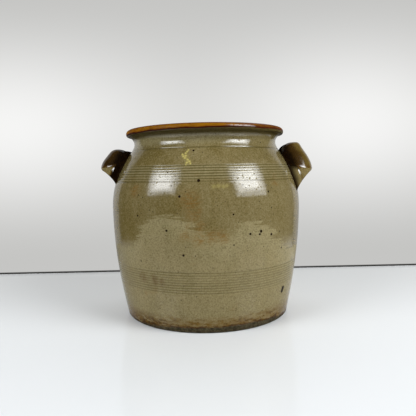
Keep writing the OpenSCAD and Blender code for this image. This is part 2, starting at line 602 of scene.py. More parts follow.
    def specks(self, flecks: Flecks) -> Socket:
        """Scatter small spots.

        Args:
            flecks: Their spacing, size and share.

        Returns:
            1 in a spot and 0 outside.
        """
        made = self.node("TexVoronoi")
        self.feed(made.inputs["Vector"], self.place)
        made.inputs["Scale"].default_value = 1.0 / flecks.cell
        picks = self.node("SeparateColor")
        self.feed(picks.inputs[0], made.outputs["Color"])
        shown = self.math("LESS_THAN", picks.outputs[0], flecks.share)
        largest = flecks.radius / flecks.cell
        reach = self.scaled(picks.outputs[1], (1 - flecks.least) * largest, flecks.least * largest)
        spot = self.between(made.outputs["Distance"], reach, self.times(reach, flecks.core))
        return self.times(spot, shown)

    def seen(self, mirrored: float) -> Socket:
        """Say how strongly a ray sees a backdrop: 1 from the camera, and a share in gloss and through glass.

        Args:
            mirrored: The share in gloss and through glass.

        Returns:
            The strength's socket.
        """
        path = self.node("LightPath").outputs
        second = self.most(path["Is Glossy Ray"], path["Is Transmission Ray"])
        return self.most(path["Is Camera Ray"], self.times(second, mirrored))

    def finish(self, sockets: dict[str, object]) -> bpy.types.Material:
        """Close the material with one shader.

        Args:
            sockets: The shader's values and links by socket name.

        Returns:
            The material.
        """
        shader = self.node("BsdfPrincipled")
        for name, value in sockets.items():
            self.feed(shader.inputs[name], value)
        self.tree.links.new(shader.outputs[0], self.node("OutputMaterial").inputs[0])
        return self.material


class PotWeb(Web):
    """Shader nodes of the pot's glaze, with the places and patterns that its layers share."""

    def __init__(self, name: str) -> None:
        """Start the glaze's nodes.

        Args:
            name: The material's name.
        """
        super().__init__(name)
        self.x, y, self.z = self.axes()
        self.side = self.gap(self.x)
        self.angle = self.math("ARCTAN2", self.x, self.times(y, -1.0))
        self.turn = self.scaled(self.angle, 0.5 / math.pi, 0.5)
        self.inside = self.attribute("inside")
        self.outside = self.minus(1.0, self.inside)
        self.streaks = self.noise(Pattern(0.012, 3.0, 0.55, upright=0.22))
        self.clouds = self.noise(Pattern(0.05, 3.0, 0.55))
        self.mottle = self.noise(Pattern(0.0045, 4.0, 0.6))

    def height_round(self, turn: Socket, points: tuple[Point2, ...], most: float) -> Socket:
        """Give a height that runs up and down round the pot.

        Args:
            turn: The angle round the pot, from 0 to 1.
            points: Angles in degrees and heights in millimetres.
            most: A height above all of them.

        Returns:
            The height in metres.
        """
        made = self.node("FloatCurve")
        curve = made.mapping.curves[0]
        spots = [((angle + 180) / 360, height / most) for angle, height in points]
        curve.points[0].location, curve.points[-1].location = spots[0], spots[-1]
        for spot in spots[1:-1]:
            curve.points.new(*spot)
        made.mapping.update()
        self.feed(made.inputs["Value"], turn)
        return self.times(made.outputs[0], most * MM)


@dataclass(frozen=True)
class DippedCoats:
    """Two dips of olive ash glaze that overlap on the belly along an uneven edge. The lower dip's paler
    colour is partly the glaze and partly a painted reflection of the pale table, and both dips are painted
    lighter toward the right as painted light.

    Lengths are in metres, apart from the edge's heights round the pot, which are in millimetres.
    """

    upper: Colour = tone("6a5b30")
    upper_pale_and_lit: Colour = tone("7e704b")
    lower: Colour = tone("7d704b")
    lower_pale_and_lit: Colour = tone("92845e")
    pooled: Colour = tone("4d4420")
    # The thin-glaze colour also serves as a painted reflection below the upper dip's edge and on the neck.
    thin_and_sheen: Colour = tone("aaa27e")
    edge_most: float = 200.0
    edge_round: tuple[Point2, ...] = (
        (-180, 116), (-150, 128), (-120, 110), (-95, 112), (-74, 99), (-58, 102), (-43, 107), (-33, 134),
        (-21, 143), (-9, 137), (2, 121), (12, 118), (19, 127), (25, 136), (30, 129), (38, 126), (44, 111),
        (58, 95), (72, 92), (90, 112), (112, 108), (140, 127), (165, 112), (180, 116))
    streak_share: float = 0.45
    flow: Ramp = Ramp(0.34, 0.66)
    upper_lit_right: Ramp = Ramp(-0.1, 0.1, -0.3, 0.4)
    shoulder_dark_side: Ramp = Ramp(0.0, 0.05, 0.0, 0.5)
    shoulder_dark_rise: Ramp = Ramp(0.2, 0.212)
    lower_flow: float = 0.6
    lower_lit_right: Ramp = Ramp(0.04, 0.09, 0.1, 0.3)
    left_edge: Ramp = Ramp(-0.082, -0.118, 0.0, 0.95)
    drawn: Pattern = Pattern(0.008, 3.0, 0.6, across=0.3, upright=3.0)
    drawn_reach: float = 0.012
    drawn_turn: float = 3.0
    drawn_least: float = 0.35
    smear: Pattern = Pattern(0.02, across=0.6, upright=3.4)
    smear_reach: float = 0.007
    front_angle: float = 7.0
    front_span: Ramp = Ramp(0.28, 0.1)
    left_angle: float = -45.0
    left_span: Ramp = Ramp(0.34, 0.1, 0.0, 0.7)
    crisp_edge: float = 0.0017
    soft_edge: float = 0.007
    below_edge: Ramp = Ramp(-0.04, -0.004, 0.0, 0.2)
    clouded: Ramp = Ramp(0.4, 0.75, 0.0, 0.16)
    neck_rise: Ramp = Ramp(0.22, 0.232, 0.0, 0.34)
    neck_side: Ramp = Ramp(0.0, 0.045, 1.0, 0.25)
    low_rise: Ramp = Ramp(0.09, 0.03, 0.0, 0.5)
    low_side: Ramp = Ramp(-0.06, 0.02)
    mottled: Ramp = Ramp(0.38, 0.7, 0.0, 0.2)
    grain: Pattern = Pattern(0.0017, 3.0, 0.65)
    grain_dark: Ramp = Ramp(0.48, 0.68, 0.0, 0.5)
    grain_pale: Ramp = Ramp(0.5, 0.34, 0.0, 0.2)
    crest_share: float = 0.2

    def lay(self, web: PotWeb) -> tuple[Socket, Socket]:
        """Lay the two dips over each other, both painted lighter toward the right as painted light.

        Args:
            web: The glaze's nodes.

        Returns:
            The colour of the ground, and 1 where the upper dip lies on it.
        """
        mixed = web.scaled(web.streaks, self.streak_share, web.times(web.clouds, 1 - self.streak_share))
        flow = web.ease(mixed, self.flow)
        # Painted light and sheen: the upper dip is painted lighter and greyer toward the right, where the
        # right window falls.
        upper = web.blend(web.plus(flow, web.ease(web.x, self.upper_lit_right)), self.upper, self.upper_pale_and_lit)
        # The upper shoulder is made darker toward the right.
        shoulder_dark = web.times(web.ease(web.x, self.shoulder_dark_side), web.ease(web.z, self.shoulder_dark_rise))
        upper = web.blend(shoulder_dark, upper, self.upper)
        # Painted light: the lower dip is painted lighter toward the right as well, besides its random flow.
        lit = web.scaled(flow, self.lower_flow, web.ease(web.x, self.lower_lit_right))
        lower = web.blend(lit, self.lower, self.lower_pale_and_lit)
        lower = web.blend(web.ease(web.x, self.left_edge), lower, self.upper)
        above, coat = self.overlap(web)
        # Painted reflection: a pale band just below the upper dip's edge stands in for the table's
        # reflection on the lower belly.
        lower = web.blend(web.ease(above, self.below_edge), lower, self.thin_and_sheen)
        return self.tones_and_sheen(web, web.blend(coat, lower, upper)), coat

    def overlap(self, web: PotWeb) -> tuple[Socket, Socket]:
        """Find where the upper dip ends, drawn out softly at the front and the left and crisp elsewhere.

        Args:
            web: The glaze's nodes.

        Returns:
            The height above the dip's edge in metres, and 1 where the dip lies.
        """
        drawn = web.waver(self.drawn, self.drawn_reach)
        turn = web.scaled(drawn, self.drawn_turn, web.turn)
        edge = web.height_round(turn, self.edge_round, self.edge_most)
        above = web.minus(web.plus(web.z, web.waver(self.smear, self.smear_reach)), edge)
        front = web.ease(web.gap(web.angle, math.radians(self.front_angle)), self.front_span)
        left = web.ease(web.gap(web.angle, math.radians(self.left_angle)), self.left_span)
        loose = web.most(front, left)
        above = web.scaled(web.scaled(loose, 1 - self.drawn_least, self.drawn_least), drawn, above)
        half = web.scaled(loose, self.soft_edge, self.crisp_edge)
        return above, web.between(above, web.times(half, -1.0), half)

    def tones_and_sheen(self, web: PotWeb, ground: Socket) -> Socket:
        """Give the ground its clouds, its pale neck, which is partly thin glaze and partly a painted
        reflection, its dull foot and its grain.

        Args:
            web: The glaze's nodes.
            ground: The colour so far.

        Returns:
            The new colour.
        """
        grain = web.noise(self.grain)
        # Painted reflection: the neck is painted paler, less so toward the right, partly as thin glaze and
        # partly for the room's reflection on the flare.
        neck = web.times(web.ease(web.z, self.neck_rise), web.ease(web.x, self.neck_side))
        sunk = web.times(web.ease(web.z, self.low_rise), web.ease(web.x, self.low_side))
        for share, colour in (
                (web.ease(web.clouds, self.clouded), self.upper), (neck, self.thin_and_sheen), (sunk, self.lower),
                (web.ease(web.mottle, self.mottled), self.lower_pale_and_lit),
                (web.ease(grain, self.grain_dark), self.pooled),
                (web.ease(grain, self.grain_pale), self.thin_and_sheen)):
            ground = web.blend(share, ground, colour)
        return ground

    def comb(self, web: PotWeb, ground: Socket) -> Socket:
        """Pool the glaze in the combed lines and thin it on the crests between them."""
        ground = web.blend(web.attribute("pool"), ground, self.pooled)
        return web.blend(web.times(web.attribute("crest"), self.crest_share), ground, self.thin_and_sheen)


@dataclass(frozen=True)
class Mark:
    """A spot on the wall: its angle from the front toward the right ear, and its height and size in mm."""

    angle: float
    height: float
    radius: float

    def point(self, outline: PotOutline) -> Vector:
        """Place the mark on the wall, in metres."""
        turn, r = math.radians(self.angle), outline.wall_r(self.height) * MM
        return Vector((r * math.sin(turn), -r * math.cos(turn), self.height * MM))


@dataclass(frozen=True)
class KilnMarks:
    """What the kiln left on the wall: warm blushes, smoke, splashes of ash and iron spots."""

    outline: PotOutline
    blushed: Colour = tone("7d5a28")
    smoked: Colour = tone("5f4826")
    splash: Colour = tone("cdbf6e")
    iron: Colour = tone("1c0f05")
    soft_push: Point2 = (0.012, 0.006)
    fluid_push: Point2 = (0.006, 0.0016)
    broken: Pattern = Pattern(0.003, 4.0, 0.7, across=0.45, upright=1.5)
    broken_span: Ramp = Ramp(0.36, 0.64)
    warmth: Pattern = Pattern(0.02, 3.0, 0.6)
    warm_span: Ramp = Ramp(0.64, 0.8, 0.0, 0.6)
    blush_share: float = 0.8
    smoke_span: Ramp = Ramp(0.35, 0.55)
    smoke_core: float = 0.2
    smoke_share: float = 0.85
    haze_core: float = 0.1
    haze_share: float = 0.22
    drop_core: float = 0.3
    drop_share: float = 0.62
    spot_core: float = 0.86
    coarse: Flecks = Flecks(0.011, 0.0013, 0.6)
    fine: Flecks = Flecks(0.005, 0.0010, 0.5)
    fine_share: float = 0.7
    spots: tuple[Mark, ...] = (
        Mark(-5.3, 217.4, 1.5), Mark(-1.6, 182.5, 1.9), Mark(-11.5, 164.8, 1.6), Mark(-18.9, 125.5, 1.5),
        Mark(-10.2, 97.1, 1.5), Mark(25.4, 119.6, 1.6), Mark(32.0, 121.7, 2.0), Mark(31.2, 118.3, 1.5),
        Mark(39.2, 116.7, 1.8), Mark(55.2, 43.2, 3.4), Mark(54.7, 40.2, 3.4), Mark(-37.3, 141.7, 1.3),
        Mark(48.4, 97.9, 1.3), Mark(37.7, 167.7, 1.3), Mark(16.0, 143.3, 1.2))
    drops: tuple[Mark, ...] = (
        Mark(-8.6, 218.2, 1.7), Mark(-9.3, 216.2, 2.0), Mark(-10.4, 214.4, 2.1), Mark(-12.2, 213.0, 1.8),
        Mark(-11.4, 210.8, 2.2), Mark(-10.2, 208.6, 2.2), Mark(-9.8, 211.2, 1.8), Mark(-8.6, 206.6, 2.1),
        Mark(-7.4, 204.4, 2.1), Mark(-8.8, 203.0, 1.7), Mark(-6.6, 202.0, 1.8), Mark(-9.2, 200.8, 1.4))
    haze: tuple[Mark, ...] = (
        Mark(6.4, 175.2, 4.0), Mark(8.8, 175.8, 4.4), Mark(11.2, 175.4, 4.2), Mark(13.2, 176.0, 3.4),
        Mark(-10.0, 210.0, 6.5), Mark(-8.0, 204.0, 5.5))
    blushes: tuple[Mark, ...] = (
        Mark(-40.6, 171.5, 13), Mark(-5.8, 160.0, 20), Mark(-4.6, 147.0, 16), Mark(-1.4, 131.0, 11),
        Mark(-9.0, 118.0, 11), Mark(-2.0, 117.0, 14), Mark(4.5, 118.0, 13), Mark(10.0, 118.5, 12),
        Mark(150.0, 160.0, 16), Mark(-120.0, 140.0, 14))
    smoke: tuple[Mark, ...] = (Mark(-37.0, 67.0, 9), Mark(-30.0, 64.0, 10), Mark(-23.0, 61.5, 9))

    def gathered(self, web: PotWeb, marks: tuple[Mark, ...], place: Socket, core: float) -> Socket:
        """Join marks into one mask.

        Args:
            web: The glaze's nodes.
            marks: The marks.
            place: The coordinates that they are measured in.
            core: Share of the radius inside which a mark is whole.

        Returns:
            1 in a mark and 0 outside.
        """
        masks = []
        for mark in marks:
            away, radius = web.away(mark.point(self.outline), place), mark.radius * MM
            masks.append(web.between(away, radius, radius * core))
        return web.most(*masks)

    def warm(self, web: PotWeb, ground: Socket) -> Socket:
        """Lay the blushes and the smoke.

        Args:
            web: The glaze's nodes.
            ground: The colour so far.

        Returns:
            The new colour.
        """
        soft = web.warped(*self.soft_push)
        broken = web.ease(web.noise(self.broken), self.broken_span)
        warm = web.times(self.gathered(web, self.blushes, soft, 0.0), broken)
        warm = web.most(warm, web.ease(web.noise(self.warmth), self.warm_span))
        ground = web.blend(web.times(warm, self.blush_share), ground, self.blushed)
        smoke = self.gathered(web, self.smoke, soft, self.smoke_core)
        smoke = web.times(smoke, web.ease(web.streaks, self.smoke_span))
        return web.blend(web.times(smoke, self.smoke_share), ground, self.smoked)

    def splashed(self, web: PotWeb, ground: Socket) -> Socket:
        """Lay the splashes of ash and the haze round them.

        Args:
            web: The glaze's nodes.
            ground: The colour so far.

        Returns:
            The new colour.
        """
        fluid = web.warped(*self.fluid_push)
        haze = web.times(self.gathered(web, self.haze, fluid, self.haze_core), self.haze_share)
        drops = web.times(self.gathered(web, self.drops, fluid, self.drop_core), self.drop_share)
        return web.blend(drops, web.blend(haze, ground, self.splash), self.splash)

    def spotted(self, web: PotWeb) -> Socket:
        """Scatter the iron spots: 1 in a spot and 0 outside."""
        placed = self.gathered(web, self.spots, web.place, self.spot_core)
        return web.most(placed, web.specks(self.coarse), web.times(web.specks(self.fine), self.fine_share))


@dataclass(frozen=True)
class LipWash:
    """Brown wash along the lip, dark where it ends, with painted shade on the glaze tucked under it, in
    metres.
    """

    outline: PotOutline
    wash: Colour = tone("8b5a06")
    deep: Colour = tone("724307")
    dark: Colour = tone("4f2004")
    edge: Colour = tone("2e0802")
    under_lip_shade_colour: Colour = tone("3e3206")
    drop: float = 0.0065
    tilt: float = 0.013
    sway: Pattern = Pattern(0.03)
    sway_reach: float = 0.0015
    under_lip_shade: Ramp = Ramp(-0.0085, -0.0034)
    under_lip_shade_share: float = 0.8
    depth: Pattern = Pattern(0.016, 4.0, 0.6)
    depth_span: Ramp = Ramp(0.38, 0.66)
    run: Pattern = Pattern(0.01, 4.0, 0.6)
    run_reach: float = 0.0018
    run_span: Ramp = Ramp(0.0006, 0.003)
    edge_span: Ramp = Ramp(0.0019, 0.0007)
    crown: Ramp = Ramp(-0.0021, -0.0009, 0.0, 0.7)
    right: Ramp = Ramp(0.03, 0.09, 0.0, 0.6)
    washed: Ramp = Ramp(-0.0007, 0.0003)
    gleam_x: float = 0.053
    gleam: Ramp = Ramp(0.036, 0.02, 0.95, 0.35)

    def lay(self, web: PotWeb, ground: Socket) -> tuple[Socket, Socket, Socket]:
        """Lay the wash and the shade under it.

        Args:
            web: The glaze's nodes.
            ground: The colour so far.

        Returns:
            The new colour, 1 from the painted shade up, and 1 on the wash.
        """
        top = web.minus(web.z, self.outline.height * MM)
        line = web.minus(web.times(web.x, self.tilt), self.drop)
        rim = web.minus(web.plus(top, web.waver(self.sway, self.sway_reach)), line)
        # Painted shade: the glaze under the lip's bead is darkened where the bead shades it.
        under_lip_shade = web.times(web.ease(rim, self.under_lip_shade), web.outside)
        ground = web.blend(web.times(under_lip_shade, self.under_lip_shade_share), ground, self.under_lip_shade_colour)
        run = web.plus(rim, web.waver(self.run, self.run_reach))
        washed = web.blend(web.ease(web.noise(self.depth), self.depth_span), self.wash, self.deep)
        washed = web.blend(web.ease(run, self.run_span), self.dark, washed)
        washed = web.blend(web.ease(web.gap(rim), self.edge_span), washed, self.edge)
        washed = web.blend(web.ease(top, self.crown), washed, self.dark)
        washed = web.blend(web.ease(web.x, self.right), washed, self.dark)
        lipped = web.ease(rim, self.washed)
        return web.blend(lipped, ground, washed), under_lip_shade, lipped

    def dulled(self, web: PotWeb, lipped: Socket) -> Socket:
        """Say how dull the lip is: it gleams at the right of the front alone."""
        return web.times(lipped, web.ease(web.gap(web.x, self.gleam_x), self.gleam))


@dataclass(frozen=True)
class StainedFoot:
    """Bare clay along the foot, with a rusty line and flecks in the glaze above it.

    Lengths are in metres, apart from the edge's heights round the pot, which are in millimetres.
    """

    rust: Colour = tone("664b18")
    rust_dark: Colour = tone("3c2408")
    clay: Colour = tone("554c37")
    clay_dark: Colour = tone("2f291b")
    edge_most: float = 40.0
    edge_round: tuple[Point2, ...] = (
        (-180, 6), (-130, 5), (-90, 3), (-62, 2.6), (-45, 4.4), (-25, 6.2), (0, 8), (25, 8.8), (45, 8),
        (62, 4.6), (90, 4), (130, 6.5), (180, 6))
    chipped: Pattern = Pattern(0.006, 4.0, 0.65)
    chipped_reach: float = 0.0025
    patches: Pattern = Pattern(0.009, 5.0, 0.68, across=0.8, upright=2.4)
    fleck_sides: Ramp = Ramp(0.02, 0.08, 0.5, 0.38)
    fleck_right: Ramp = Ramp(0.0, 0.06, 0.0, 0.07)
    fleck_soft: float = 0.09
    fleck_rise: Ramp = Ramp(0.02, 0.001)
    fleck_share: float = 0.9
    line_rise: Ramp = Ramp(0.0024, 0.0006)
    line_breaks: Ramp = Ramp(0.3, 0.5)
    line_dark: float = 0.6
    tinge_top: Ramp = Ramp(0.06, 0.1, 0.016, 0.026)
    tinge_foot: float = 0.001
    tinge_share: float = 0.85
    tinge_breaks: Ramp = Ramp(0.34, 0.56, 0.4, 1.0)
    stain: Pattern = Pattern(0.005, 3.0, 0.6)
    stain_span: Ramp = Ramp(0.38, 0.62)
    clay_grain: Pattern = Pattern(0.0035, 4.0, 0.7)
    clay_span: Ramp = Ramp(0.36, 0.66)
    bare: Ramp = Ramp(0.0, -0.0012)

    def lay(self, web: PotWeb, ground: Socket) -> tuple[Socket, Socket, Socket]:
        """Lay the stain and the bare clay.

        Args:
            web: The glaze's nodes.
            ground: The colour so far.

        Returns:
            The new colour, 1 in the rusty flecks, and 1 on the bare clay.
        """
        edge = web.height_round(web.turn, self.edge_round, self.edge_most)
        low = web.minus(web.plus(web.z, web.waver(self.chipped, self.chipped_reach)), edge)
        patches = web.noise(self.patches)
        sides = web.plus(web.ease(web.side, self.fleck_sides), web.ease(web.x, self.fleck_right))
        flecked = web.between(patches, sides, web.plus(sides, self.fleck_soft))
        rusted = web.times(web.ease(low, self.fleck_rise), flecked)
        line = web.times(web.ease(web.gap(low), self.line_rise), web.ease(patches, self.line_breaks))
        tinge_top = web.ease(web.side, self.tinge_top)
        tinge = web.between(low, tinge_top, self.tinge_foot, 0.0, self.tinge_share)
        tinge = web.times(tinge, web.ease(patches, self.tinge_breaks))
        stain = web.blend(web.ease(web.noise(self.stain), self.stain_span), self.rust_dark, self.rust)
        stain = web.blend(web.times(line, self.line_dark), stain, self.rust_dark)
        ground = web.blend(tinge, ground, self.rust)
        ground = web.blend(web.most(web.times(rusted, self.fleck_share), line), ground, stain)
        clay = web.blend(web.ease(web.noise(self.clay_grain), self.clay_span), self.clay_dark, self.clay)
        bare = web.times(web.ease(low, self.bare), web.outside)
        return web.blend(bare, ground, clay), rusted, bare


@dataclass(frozen=True)
class PotGlaze:
    """The pot's whole finish: dipped coats, kiln marks, washed lip, stained foot and their gloss."""

    outline: PotOutline
    coats: DippedCoats = DippedCoats()
    foot: StainedFoot = StainedFoot()
    inner: Colour = tone("6b5a34")
    inner_light: Colour = tone("7f7146")
    inner_flow: Ramp = Ramp(0.3, 0.7)
    inner_spots: float = 0.8
    gloss: float = 0.9
    coat_roughness: float = 0.1
    coat_ior: float = 1.6
    body_ior: float = 1.14
    pits: Flecks = Flecks(0.0036, 0.0016, 0.55)
    roughness: float = 0.12
    mottle_rough: float = 0.12
    pit_rough: float = 0.3
    bare_rough: float = 0.5
    spot_rough: float = 0.5
    lip_rough: float = 0.06
    dull_share: float = 0.9
    lower_dull: float = 0.8
    orange_peel: Pattern = Pattern(0.0017, 2.0, 0.55)
    peel_depth: float = 0.00009
    waves: Pattern = Pattern(0.009, upright=1.6)
    wave_depth: float = 0.00025
    grit: Pattern = Pattern(0.0012, 3.0, 0.7)
    grit_depth: float = 0.0006

    def material(self) -> bpy.types.Material:
        """Make the glaze.

        Returns:
            The pot's material.
        """
        web, marks, lip = PotWeb("pot_glaze"), KilnMarks(self.outline), LipWash(self.outline)
        ground, upper = self.coats.lay(web)
        ground = self.coats.comb(web, marks.warm(web, ground))
        spots = marks.spotted(web)
        ground = web.blend(spots, marks.splashed(web, ground), marks.iron)
        within = web.blend(web.ease(web.streaks, self.inner_flow), self.inner, self.inner_light)
        within = web.blend(web.times(spots, self.inner_spots), within, marks.iron)
        ground, under_lip_shade, lipped = lip.lay(web, web.blend(web.inside, ground, within))
        ground, rusted, bare = self.foot.lay(web, ground)
        pits = web.specks(self.pits)

        sheen = web.scaled(pits, self.pit_rough, web.scaled(web.mottle, self.mottle_rough, self.roughness))
        sheen = web.scaled(web.most(bare, under_lip_shade), self.bare_rough, sheen)
        sheen = web.scaled(lipped, self.lip_rough, web.scaled(spots, self.spot_rough, sheen))
        skin = web.bump(web.noise(self.orange_peel), self.peel_depth)
        skin = web.bump(web.noise(self.waves), self.wave_depth, skin)
        skin = web.bump(web.times(web.noise(self.grit), bare), self.grit_depth, skin)
        marred = web.times(web.most(web.minus(under_lip_shade, lipped), spots, pits), self.dull_share)
        lower = web.scaled(upper, -self.lower_dull, self.lower_dull)
        dull = web.most(bare, rusted, lip.dulled(web, lipped), marred, lower)
        return web.finish({
            "Base Color": ground, "Roughness": sheen, "Normal": skin, "IOR": self.body_ior,
            "Coat Weight": web.scaled(dull, -self.gloss, self.gloss),
            "Coat Roughness": self.coat_roughness, "Coat IOR": self.coat_ior})


@dataclass(frozen=True)
class EarGlaze:
    """Dark brown glaze, near black by the wall and olive on the outer faces: partly glaze that pools by the
    wall and thins outward, partly painted shade in the crease and painted light on the outer faces. The
    pressed facets are painted pale, partly as a painted reflection, and a painted highlight runs along the
    right ear's leg.
    """

    dark: Colour = tone("150a02")
    brown: Colour = tone("3f2b0b")
    lit_thin_olive: Colour = tone("6f5c2b")
    pale_and_glint: Colour = tone("83734a")
    broken: Colour = tone("5c4018")
    clouds: Pattern = Pattern(0.018, 3.0, 0.55)
    drift: float = 0.25
    to_brown_from_shade: Ramp = Ramp(0.25, 0.6)
    to_lit_thin_olive: Ramp = Ramp(0.58, 0.98)
    to_pale_facet_sheen: Ramp = Ramp(1.0, 1.08)
    leg_glint_breaks: Ramp = Ramp(0.2, 0.5, 0.6, 1.0)
    mottle: Pattern = Pattern(0.004, 4.0, 0.6)
    mottled: Ramp = Ramp(0.45, 0.75, 0.0, 0.2)
    edge_share: float = 0.6
    flecks: Flecks = Flecks(0.008, 0.0007, 0.6)
    dulled: Ramp = Ramp(0.32, 0.05)
    roughness: float = 0.05
    mottle_rough: float = 0.08
    dull_rough: float = 0.45
    ripples: Pattern = Pattern(0.0035)
    ripple_depth: float = 0.00018
    dents: Pattern = Pattern(0.012)
    dent_depth: float = 0.0005
    gloss: float = 0.58
    coat_roughness: float = 0.14
    coat_ior: float = 2.1
    body_ior: float = 1.05

    def material(self) -> bpy.types.Material:
        """Make the glaze.

        Returns:
            The ears' material.
        """
        web = Web("handle_glaze")
        clouds, mottle, out = web.noise(self.clouds), web.noise(self.mottle), web.attribute("out")
        reach = web.plus(out, web.scaled(clouds, 2 * self.drift, -self.drift))
        leg_glint = web.times(web.attribute("leg_glint"), web.ease(clouds, self.leg_glint_breaks))
        # Painted shade and light: near black by the wall, through brown, to olive on the outer faces.
        ground = web.blend(web.ease(reach, self.to_brown_from_shade), self.dark, self.brown)
        # Painted reflection and highlight: the pressed facets turn pale, partly as thin glaze, and the right
        # ear's leg gets a painted highlight.
        for share, colour in (
                (web.ease(reach, self.to_lit_thin_olive), self.lit_thin_olive), (web.ease(out, self.to_pale_facet_sheen), self.pale_and_glint),
                (leg_glint, self.pale_and_glint), (web.ease(mottle, self.mottled), self.brown),
                (web.times(web.attribute("edge"), self.edge_share), self.broken),
                (web.specks(self.flecks), self.dark)):
            ground = web.blend(share, ground, colour)
        dull = web.ease(out, self.dulled)
        sheen = web.scaled(dull, self.dull_rough, web.scaled(mottle, self.mottle_rough, self.roughness))
        skin = web.bump(web.noise(self.ripples), self.ripple_depth)
        skin = web.bump(web.noise(self.dents), self.dent_depth, skin)
        return web.finish({
            "Base Color": ground, "Roughness": sheen, "Normal": skin, "IOR": self.body_ior,
            "Coat Weight": web.scaled(dull, -self.gloss, self.gloss),
            "Coat Roughness": self.coat_roughness, "Coat IOR": self.coat_ior})


@dataclass(frozen=True)
class TableFinish:
    """Smooth pale table top with painted light: it is lighter toward the wall, where it glows faintly, and
    it fades out beyond its reach.
    """

    front: Colour = tone("ecedee")
    back: Colour = tone("f0f1f1")
    depth: Ramp = Ramp(-0.2, 0.24)
    reach: Point2 = (0.46, 0.36)
    fade: float = 0.15
    lift: Ramp = Ramp(-0.26, 0.12, 0.0, 0.09)
    smudges: Pattern = Pattern(0.05)
    smudge_rough: float = 0.03
    roughness: float = 0.015
    ior: float = 1.55

    def material(self) -> bpy.types.Material:
        """Make the table's finish.

        Returns:
            The floor's material.
        """
        web = Web("table_top")
        x, y, _ = web.axes()
        ground = web.blend(web.ease(y, self.depth), self.front, self.back)
        ways = zip((x, y), self.reach)
        shown = web.times(*(web.between(web.gap(way), reach + self.fade, reach) for way, reach in ways))
        # Painted light: the emission lightens the table from in front of the pot toward the wall, for the
        # camera and in reflections.
        return web.finish({
            "Base Color": ground, "IOR": self.ior, "Alpha": shown, "Emission Color": ground,
            "Roughness": web.scaled(web.noise(self.smudges), self.smudge_rough, self.roughness),
            "Emission Strength": web.times(web.ease(y, self.lift), web.seen(1.0))})


@dataclass(frozen=True)
class WallFinish:
    """Pale wall behind the table, with a soft glow toward each side and a dark joint along its foot."""

    plain: Colour = tone("c5c5c3")
    lit: Colour = tone("f5f5f4")
    joint: Colour = tone("3a3a38")
    black: Colour = (0.0, 0.0, 0.0, 1.0)
    joint_rise: Ramp = Ramp(0.0042, 0.00252)
    mirrored: float = 0.6
    glow_height: float = 0.285
    glow_rise: Ramp = Ramp(0.26, 0.0)
    glow_least: float = 0.5
    glows: tuple[tuple[float, Ramp], ...] = ((-0.38, Ramp(0.36, 0.0)), (0.28, Ramp(0.32, 0.0)))

    def material(self) -> bpy.types.Material:
        """Make the wall's finish, which shines on its front alone.

        Returns:
            The wall's material.
        """
        web = Web("pale_wall")
        x, _, z = web.axes()
        spread = web.most(*(web.ease(web.gap(x, place), ramp) for place, ramp in self.glows))
        level = web.ease(web.gap(z, self.glow_height), self.glow_rise)
        share = web.times(level, web.scaled(spread, 1 - self.glow_least, self.glow_least))
        ground = web.blend(share, self.plain, self.lit)
        ground = web.blend(web.ease(z, self.joint_rise), ground, self.joint)
        front = web.minus(1.0, web.node("NewGeometry").outputs["Backfacing"])
        return web.finish({
            "Base Color": self.black, "Roughness": 1.0, "Specular IOR Level": 0.0, "Alpha": front,
            "Emission Color": ground, "Emission Strength": web.seen(self.mirrored)})


@dataclass(frozen=True)
class ClothFinish:
    """Dark matt cloth of the screen."""

    colour: Colour = tone("2a2a29")
    shade: Colour = tone("222221")
    folds: Pattern = Pattern(0.3)
    roughness: float = 0.9
    ior: float = 1.3

    def material(self) -> bpy.types.Material:
        """Make the cloth's finish.

        Returns:
            The screen's material.
        """
        web = Web("screen_cloth")
        ground = web.blend(web.noise(self.folds), self.colour, self.shade)
        return web.finish({"Base Color": ground, "Roughness": self.roughness, "IOR": self.ior})


def draw_line(bm: bmesh.types.BMesh, points: list[tuple[float, float, float]]) -> list[bmesh.types.BMVert]:
    """Draw points that are joined by edges.

    Args:
        bm: The mesh.
        points: The points in metres, in order.

    Returns:
        The mesh's new points.
    """
    verts = [bm.verts.new(point) for point in points]
    for pair in zip(verts, verts[1:]):
        bm.edges.new(pair)
    return verts


def turn_round(bm: bmesh.types.BMesh, angle: float, steps: int, closed: bool) -> None:
    """Turn a drawn line about the pot's axis into a surface.

    Args:
        bm: The mesh that holds the line.
        angle: How far it turns, in radians.
        steps: The number of strips.
        closed: Whether the last strip is joined to the first.
    """
    bmesh.ops.spin(bm, geom=bm.verts[:] + bm.edges[:], cent=MIDDLE, axis=UPRIGHT, dvec=MIDDLE,
                   angle=angle, steps=steps, use_merge=closed)


def put_in_scene(bm: bmesh.types.BMesh, name: str) -> bpy.types.Object:
    """Turn a finished mesh into an object at the origin.

    Args:
        bm: The mesh in metres.
        name: The object's name.

    Returns:
        The object, smooth all over.
    """
    for face in bm.faces:
        face.smooth = True
    mesh = bpy.data.meshes.new(name)
    bm.to_mesh(mesh)
    bm.free()
    piece = bpy.data.objects.new(name, mesh)
    bpy.context.scene.collection.objects.link(piece)
    return piece


@dataclass(frozen=True)
class Waver:
    """Slow unevenness round the wall: its reach and its rise in millimetres, and its pace round the pot."""

    reach: float
    pace: float
    rise: float
    start: Point2 = (0.0, 0.0)

    def at(self, around: Vector, z: float) -> float:
        """Give the shift in a direction from the axis, at a height."""
        return self.reach * noise.noise(around * self.pace + Vector((*self.start, z / self.rise)))


